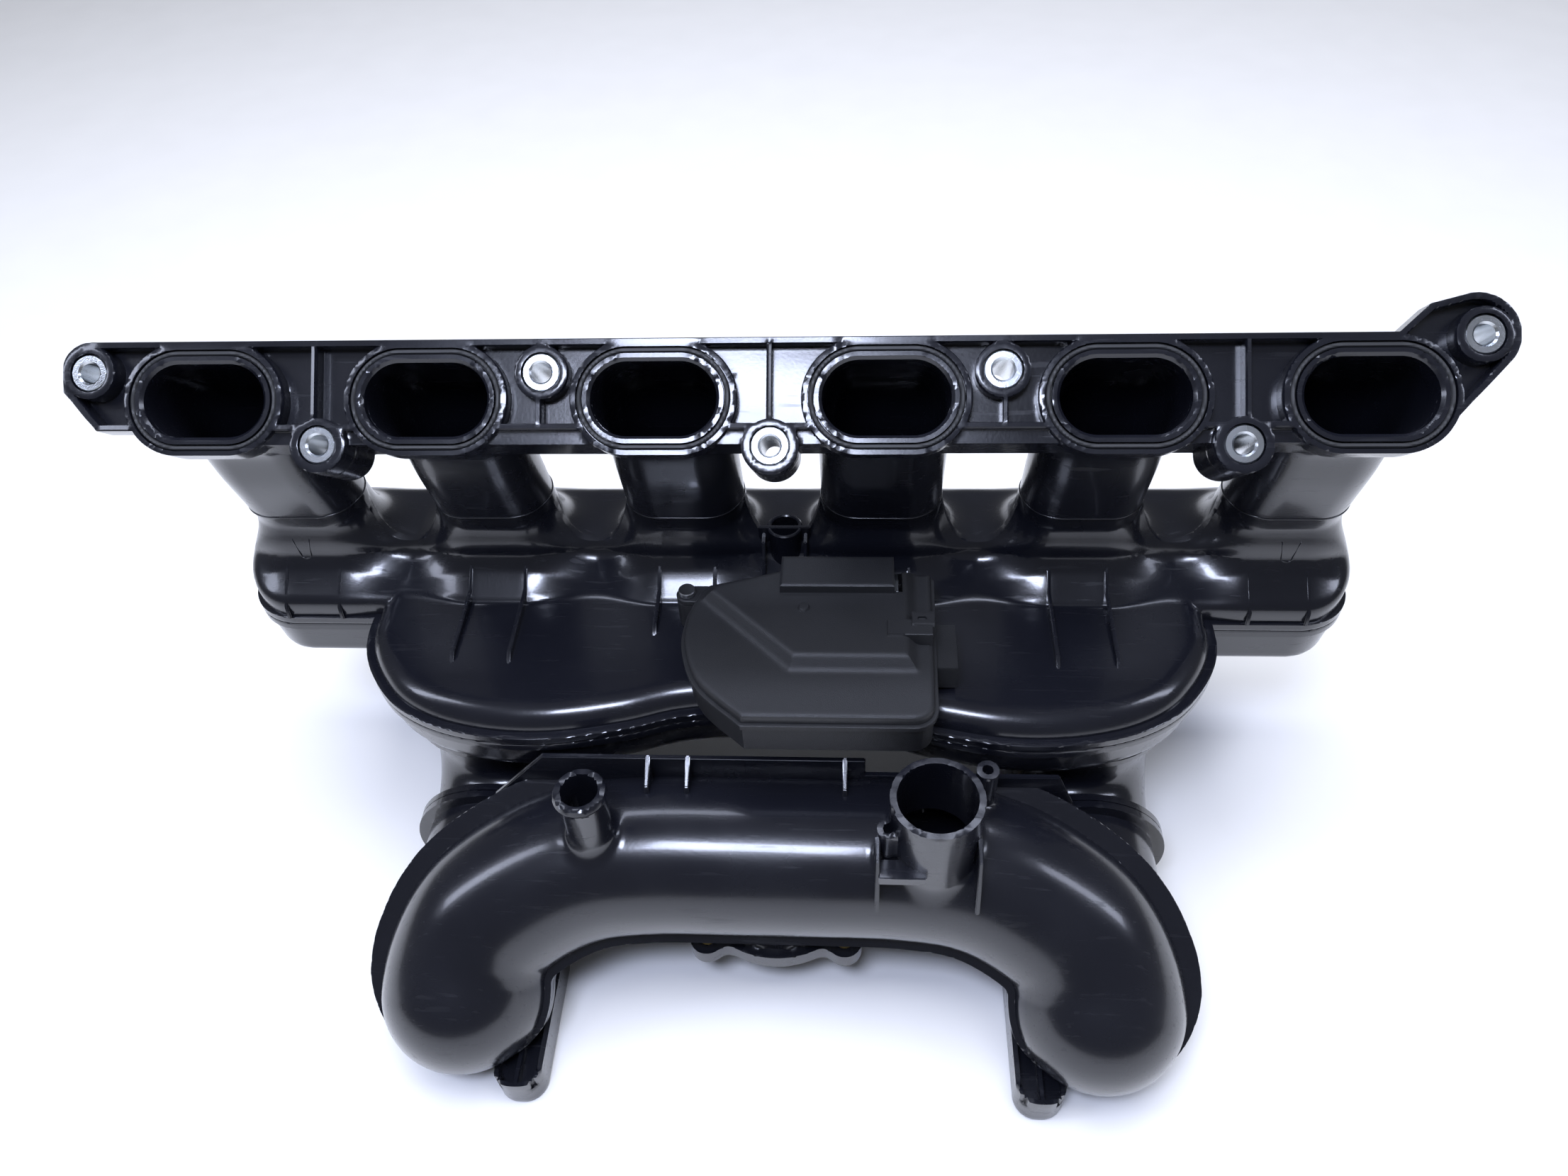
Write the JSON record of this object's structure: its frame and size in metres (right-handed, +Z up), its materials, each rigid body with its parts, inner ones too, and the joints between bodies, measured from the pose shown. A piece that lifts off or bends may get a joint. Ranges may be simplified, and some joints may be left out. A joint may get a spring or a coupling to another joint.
{
  "type": "intake manifold",
  "caption": "Welded black nylon intake manifold for an in-line engine, with curved runners, a split plenum, a U-shaped crossover tube, and a geared flap actuator.",
  "frame": {"origin": "middle of the head flange's sealing face, halfway between the third and fourth ports", "axes": "+X along the port row to the end with the raised ear, +Y away from the engine, +Z up with the feet and legs on a level bench; the sealing face leans 42 degrees from level and faces up and towards -Y"},
  "size_m": [0.6451, 0.298, 0.326],
  "materials": {
    "black_nylon": "glossy glass-filled nylon with fine scuffs",
    "charcoal_plastic": "matte moulded",
    "seal_rubber": "matte",
    "zinc_steel": "bright zinc plate",
    "steel": "ground",
    "brass": "machined",
    "acetal": "natural white"
  },
  "bodies": {
    "manifold": {"head_flange": "black_nylon", "plenum_upper_shell": "black_nylon", "plenum_lower_shell": "black_nylon", "crossover_upper_shell": "black_nylon", "crossover_lower_shell": "black_nylon", "inlet_elbow_left": "black_nylon", "inlet_elbow_right": "black_nylon", "plenum_divider": "black_nylon", "port_seal_1": "seal_rubber", "port_seal_2": "seal_rubber", "port_seal_3": "seal_rubber", "port_seal_4": "seal_rubber", "port_seal_5": "seal_rubber", "port_seal_6": "seal_rubber", "flange_sleeve_1": "zinc_steel", "flange_sleeve_2": "zinc_steel", "flange_sleeve_3": "zinc_steel", "flange_sleeve_4": "zinc_steel", "flange_sleeve_5": "zinc_steel", "flange_sleeve_6": "zinc_steel", "flange_sleeve_7": "zinc_steel", "throttle_insert_1": "brass", "throttle_insert_2": "brass", "throttle_insert_3": "brass", "throttle_insert_4": "brass", "throttle_seal": "seal_rubber", "actuator_base": "charcoal_plastic", "actuator_cover": "charcoal_plastic", "actuator_screw": "steel", "motor_can": "zinc_steel", "wheel_pin": "steel", "connector_pin_1": "brass", "connector_pin_2": "brass", "connector_pin_3": "brass", "flap_bush_upper": "acetal", "flap_bush_lower": "acetal"},
    "motor_rotor": {"motor_worm_shaft": "steel"},
    "wheel": {"worm_wheel": "acetal"},
    "flap": {"sector_gear": "acetal", "flap_shaft": "steel", "flap_plate": "black_nylon"}
  },
  "joints": [
    {"name": "motor_spin", "type": "hinge", "parent": "manifold", "child": "motor_rotor", "pos_m": [0.0133, -0.009, -0.119], "axis": [1, 0, 0], "range_deg": [0, 6174]},
    {"name": "wheel_turn", "type": "hinge", "parent": "manifold", "child": "wheel", "pos_m": [0.0133, -0.027, -0.125], "axis": [0, 0, 1], "range_deg": [-441, 0]},
    {"name": "flap_turn", "type": "hinge", "parent": "manifold", "child": "flap", "pos_m": [-0.01613, -0.029, -0.15], "axis": [0, 0, 1], "range_deg": [0, 90]}
  ],
  "couplings": [
    {"joint": "motor_spin", "follows": "wheel_turn", "ratio": -14},
    {"joint": "flap_turn", "follows": "wheel_turn", "ratio": -0.20408}
  ]
}
